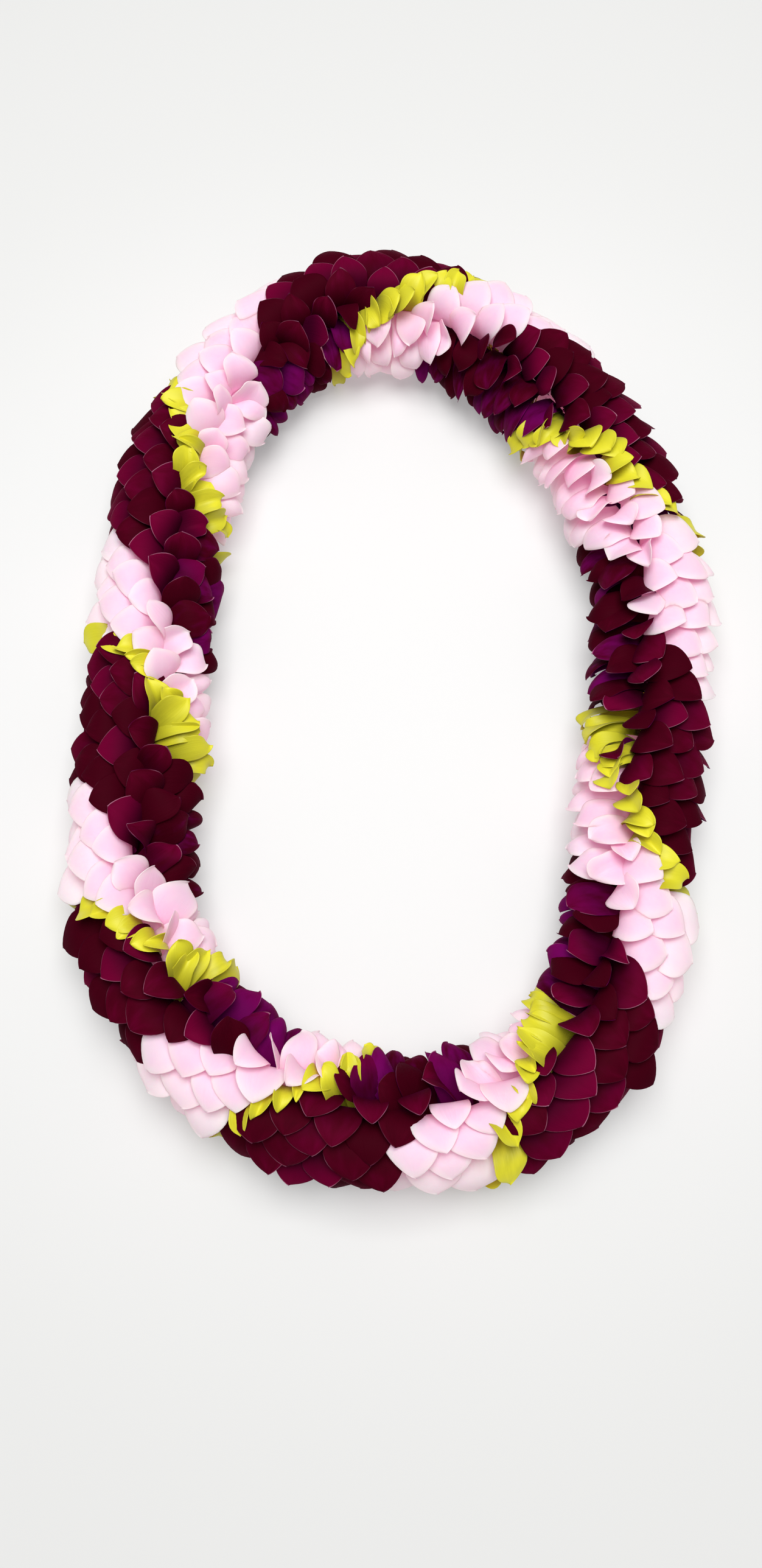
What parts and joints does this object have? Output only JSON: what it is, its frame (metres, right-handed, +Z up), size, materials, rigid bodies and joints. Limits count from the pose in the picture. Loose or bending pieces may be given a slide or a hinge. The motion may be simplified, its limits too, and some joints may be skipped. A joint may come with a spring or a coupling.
{
  "type": "fresh flower lei",
  "caption": "Closed garland of layered orchid petals on one thread, in spiral bands of dark red, pale pink and yellow-green, lying flat as an oval loop.",
  "frame": {"origin": "on the table, below the middle of the lei's box", "axes": "+Z up from the table, +Y along the loop's long way, away from the viewer of the picture, +X to the viewer's right"},
  "size_m": [0.2964, 0.4572, 0.0565],
  "materials": {
    "maroon_petal": "velvety dark red orchid petal with a thin pale rim and purple lights",
    "pink_petal": "matte pale pink orchid petal, cream towards its edge, with fine veins",
    "green_petal": "matte yellow-green orchid petal, cupped, deeper green towards its base",
    "thread": "plain undyed stringing thread"
  },
  "bodies": {
    "root": {"green_petals_1": "green_petal", "green_petals_2": "green_petal", "green_petals_3": "green_petal", "green_petals_4": "green_petal", "green_petals_5": "green_petal", "green_petals_6": "green_petal", "green_petals_7": "green_petal", "green_petals_8": "green_petal", "green_petals_9": "green_petal", "green_petals_10": "green_petal", "green_petals_11": "green_petal", "green_petals_12": "green_petal", "maroon_petals_1": "maroon_petal", "maroon_petals_2": "maroon_petal", "maroon_petals_3": "maroon_petal", "maroon_petals_4": "maroon_petal", "maroon_petals_5": "maroon_petal", "maroon_petals_6": "maroon_petal", "maroon_petals_7": "maroon_petal", "maroon_petals_8": "maroon_petal", "maroon_petals_9": "maroon_petal", "maroon_petals_10": "maroon_petal", "maroon_petals_11": "maroon_petal", "maroon_petals_12": "maroon_petal", "pink_petals_1": "pink_petal", "pink_petals_2": "pink_petal", "pink_petals_3": "pink_petal", "pink_petals_4": "pink_petal", "pink_petals_5": "pink_petal", "pink_petals_6": "pink_petal", "pink_petals_7": "pink_petal", "pink_petals_8": "pink_petal", "pink_petals_9": "pink_petal", "pink_petals_10": "pink_petal", "pink_petals_11": "pink_petal", "pink_petals_12": "pink_petal", "stringing_thread": "thread"}
  },
  "joints": []
}
